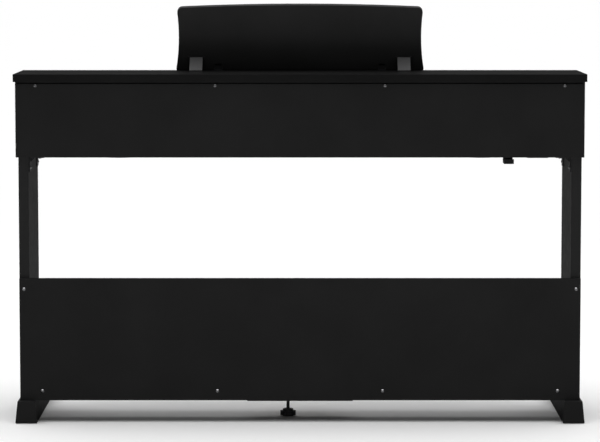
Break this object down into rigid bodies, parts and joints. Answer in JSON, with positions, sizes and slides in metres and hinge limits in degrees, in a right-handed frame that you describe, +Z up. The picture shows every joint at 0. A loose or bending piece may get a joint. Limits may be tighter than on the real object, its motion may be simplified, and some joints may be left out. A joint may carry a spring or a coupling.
{
  "type": "digital piano on stand",
  "caption": "Console digital piano on its stand, with a full keyboard under a curved sliding cover, a folding music rest, a pedal unit and a panelled back.",
  "frame": {"origin": "on the floor under the middle of the bounding box", "axes": "+Z up, +X to the player's right along the keyboard, +Y to the rear, away from the player"},
  "size_m": [1.357, 0.422, 0.9944],
  "materials": {
    "black_board": "satin black foil",
    "white_key": "smooth",
    "black_key": "fine matte",
    "black_plastic": "matte",
    "board_edge": "plain wood",
    "steel": "zinc plated",
    "grey_steel": "satin grey",
    "black_steel": "black powder coat",
    "brass": "polished",
    "felt": "felt",
    "circuit": "circuit board",
    "rubber": "matte"
  },
  "bodies": {
    "piano": {"top_board": "black_board", "upper_back_panel": "black_board", "cabinet_side_left": "black_board", "cabinet_side_right": "black_board", "key_slip": "black_board", "cheek_block_left": "black_board", "cheek_block_right": "black_board", "name_board": "black_board", "leg_panel_left": "black_board", "leg_panel_right": "black_board", "foot_left": "black_board", "foot_right": "black_board", "lower_rear_panel": "black_board", "pedal_box": "black_board", "keybed_board": "board_edge", "rear_batten": "board_edge", "key_frame": "black_plastic", "cover_rails": "black_plastic", "headphone_hanger": "black_plastic", "phones_jack_box": "black_plastic", "speaker_grilles": "black_plastic", "terminal_panel": "black_plastic", "music_rest_hinges": "grey_steel", "pedal_unit_case": "black_steel", "angle_brackets": "black_steel", "speakers": "black_steel", "bracket_screws": "steel", "panel_screws": "steel", "pedal_left_spring": "steel", "pedal_middle_spring": "steel", "pedal_right_spring": "steel", "felt_strip": "felt", "circuit_boards": "circuit", "foot_pads": "rubber"},
    "key_cover": {"key_cover": "black_board"},
    "music_rest": {"music_rest": "black_board"},
    "rest_support_left": {"rest_support_left": "grey_steel"},
    "rest_support_right": {"rest_support_right": "grey_steel"},
    "pedal_left": {"pedal_left": "brass"},
    "pedal_middle": {"pedal_middle": "brass"},
    "pedal_right": {"pedal_right": "brass"},
    "adjuster_pad": {"adjuster_pad": "rubber"},
    "adjuster_knob": {"adjuster_knob": "black_plastic"},
    "power_button": {"power_button": "black_plastic"},
    "volume_knob": {"volume_knob": "black_plastic"},
    "voice_button": {"voice_button": "black_plastic"},
    "metronome_button": {"metronome_button": "black_plastic"},
    "tempo_button": {"tempo_button": "black_plastic"},
    "keys_c": {"keys_c": "white_key"},
    "keys_c_sharp": {"keys_c_sharp": "black_key"},
    "keys_d": {"keys_d": "white_key"},
    "keys_d_sharp": {"keys_d_sharp": "black_key"},
    "keys_e": {"keys_e": "white_key"},
    "keys_f": {"keys_f": "white_key"},
    "keys_f_sharp": {"keys_f_sharp": "black_key"},
    "keys_g": {"keys_g": "white_key"},
    "keys_g_sharp": {"keys_g_sharp": "black_key"},
    "keys_a": {"keys_a": "white_key"},
    "keys_a_sharp": {"keys_a_sharp": "black_key"},
    "keys_b": {"keys_b": "white_key"}
  },
  "joints": [
    {"name": "keys_c_press", "type": "hinge", "parent": "piano", "child": "keys_c", "pos_m": [0, 0.03, 0.712], "axis": [1, 0, 0], "range_deg": [0, 2.58], "stiffness_Nm_per_rad": 7, "springref_deg": -12.61},
    {"name": "keys_c_sharp_press", "type": "hinge", "parent": "piano", "child": "keys_c_sharp", "pos_m": [0, 0.03, 0.712], "axis": [1, 0, 0], "range_deg": [0, 2.58], "stiffness_Nm_per_rad": 7, "springref_deg": -12.61},
    {"name": "keys_d_press", "type": "hinge", "parent": "piano", "child": "keys_d", "pos_m": [0, 0.03, 0.712], "axis": [1, 0, 0], "range_deg": [0, 2.58], "stiffness_Nm_per_rad": 7, "springref_deg": -12.61},
    {"name": "keys_d_sharp_press", "type": "hinge", "parent": "piano", "child": "keys_d_sharp", "pos_m": [0, 0.03, 0.712], "axis": [1, 0, 0], "range_deg": [0, 2.58], "stiffness_Nm_per_rad": 7, "springref_deg": -12.61},
    {"name": "keys_e_press", "type": "hinge", "parent": "piano", "child": "keys_e", "pos_m": [0, 0.03, 0.712], "axis": [1, 0, 0], "range_deg": [0, 2.58], "stiffness_Nm_per_rad": 7, "springref_deg": -12.61},
    {"name": "keys_f_press", "type": "hinge", "parent": "piano", "child": "keys_f", "pos_m": [0, 0.03, 0.712], "axis": [1, 0, 0], "range_deg": [0, 2.58], "stiffness_Nm_per_rad": 7, "springref_deg": -12.61},
    {"name": "keys_f_sharp_press", "type": "hinge", "parent": "piano", "child": "keys_f_sharp", "pos_m": [0, 0.03, 0.712], "axis": [1, 0, 0], "range_deg": [0, 2.58], "stiffness_Nm_per_rad": 7, "springref_deg": -12.61},
    {"name": "keys_g_press", "type": "hinge", "parent": "piano", "child": "keys_g", "pos_m": [0, 0.03, 0.712], "axis": [1, 0, 0], "range_deg": [0, 2.58], "stiffness_Nm_per_rad": 7, "springref_deg": -12.61},
    {"name": "keys_g_sharp_press", "type": "hinge", "parent": "piano", "child": "keys_g_sharp", "pos_m": [0, 0.03, 0.712], "axis": [1, 0, 0], "range_deg": [0, 2.58], "stiffness_Nm_per_rad": 7, "springref_deg": -12.61},
    {"name": "keys_a_press", "type": "hinge", "parent": "piano", "child": "keys_a", "pos_m": [0, 0.03, 0.712], "axis": [1, 0, 0], "range_deg": [0, 2.58], "stiffness_Nm_per_rad": 7, "springref_deg": -12.61},
    {"name": "keys_a_sharp_press", "type": "hinge", "parent": "piano", "child": "keys_a_sharp", "pos_m": [0, 0.03, 0.712], "axis": [1, 0, 0], "range_deg": [0, 2.58], "stiffness_Nm_per_rad": 7, "springref_deg": -12.61},
    {"name": "keys_b_press", "type": "hinge", "parent": "piano", "child": "keys_b", "pos_m": [0, 0.03, 0.712], "axis": [1, 0, 0], "range_deg": [0, 2.58], "stiffness_Nm_per_rad": 7, "springref_deg": -12.61},
    {"name": "key_cover_slide", "type": "hinge", "parent": "piano", "child": "key_cover", "pos_m": [0, 0.01, 0.442], "axis": [1, 0, 0], "range_deg": [0, 24.4]},
    {"name": "music_rest_fold", "type": "hinge", "parent": "piano", "child": "music_rest", "pos_m": [0, -0.042, 0.8435], "axis": [-1, 0, 0], "range_deg": [0, 73.5]},
    {"name": "rest_support_left_fold", "type": "hinge", "parent": "music_rest", "child": "rest_support_left", "pos_m": [-0.253, -0.02734, 0.86198], "axis": [1, 0, 0], "range_deg": [0, 115]},
    {"name": "rest_support_right_fold", "type": "hinge", "parent": "music_rest", "child": "rest_support_right", "pos_m": [0.253, -0.02734, 0.86198], "axis": [1, 0, 0], "range_deg": [0, 115]},
    {"name": "pedal_left_press", "type": "hinge", "parent": "piano", "child": "pedal_left", "pos_m": [-0.068, 0.15, 0.082], "axis": [1, 0, 0], "range_deg": [0, 4.4], "stiffness_Nm_per_rad": 40, "springref_deg": -2.86, "deforming": ["pedal_left_spring"]},
    {"name": "pedal_middle_press", "type": "hinge", "parent": "piano", "child": "pedal_middle", "pos_m": [0, 0.15, 0.082], "axis": [1, 0, 0], "range_deg": [0, 4.4], "stiffness_Nm_per_rad": 40, "springref_deg": -2.86, "deforming": ["pedal_middle_spring"]},
    {"name": "pedal_right_press", "type": "hinge", "parent": "piano", "child": "pedal_right", "pos_m": [0.068, 0.15, 0.082], "axis": [1, 0, 0], "range_deg": [0, 4.4], "stiffness_Nm_per_rad": 40, "springref_deg": -2.86, "deforming": ["pedal_right_spring"]},
    {"name": "adjuster_lift", "type": "slide", "parent": "piano", "child": "adjuster_pad", "axis": [0, 0, 1], "range_m": [0, 0.0051]},
    {"name": "adjuster_spin", "type": "hinge", "parent": "adjuster_pad", "child": "adjuster_knob", "pos_m": [0.029, 0.092, 0.01], "axis": [0, 0, 1], "range_deg": [0, 1440]},
    {"name": "power_button_press", "type": "slide", "parent": "piano", "child": "power_button", "axis": [0, 0, -1], "range_m": [0, 0.0015], "stiffness_N_per_m": 800, "springref_m": -0.001},
    {"name": "voice_button_press", "type": "slide", "parent": "piano", "child": "voice_button", "axis": [0, 0, -1], "range_m": [0, 0.0015], "stiffness_N_per_m": 800, "springref_m": -0.001},
    {"name": "metronome_button_press", "type": "slide", "parent": "piano", "child": "metronome_button", "axis": [0, 0, -1], "range_m": [0, 0.0015], "stiffness_N_per_m": 800, "springref_m": -0.001},
    {"name": "tempo_button_press", "type": "slide", "parent": "piano", "child": "tempo_button", "axis": [0, 0, -1], "range_m": [0, 0.0015], "stiffness_N_per_m": 800, "springref_m": -0.001},
    {"name": "volume_turn", "type": "hinge", "parent": "piano", "child": "volume_knob", "pos_m": [-0.636, -0.075, 0.734], "axis": [0, 0, -1], "range_deg": [-140, 140]}
  ],
  "couplings": [
    {"joint": "rest_support_left_fold", "follows": "music_rest_fold", "ratio": 1.5581},
    {"joint": "rest_support_right_fold", "follows": "music_rest_fold", "ratio": 1.5581},
    {"joint": "adjuster_lift", "follows": "adjuster_spin", "m_per_rad": 0.00019894}
  ]
}
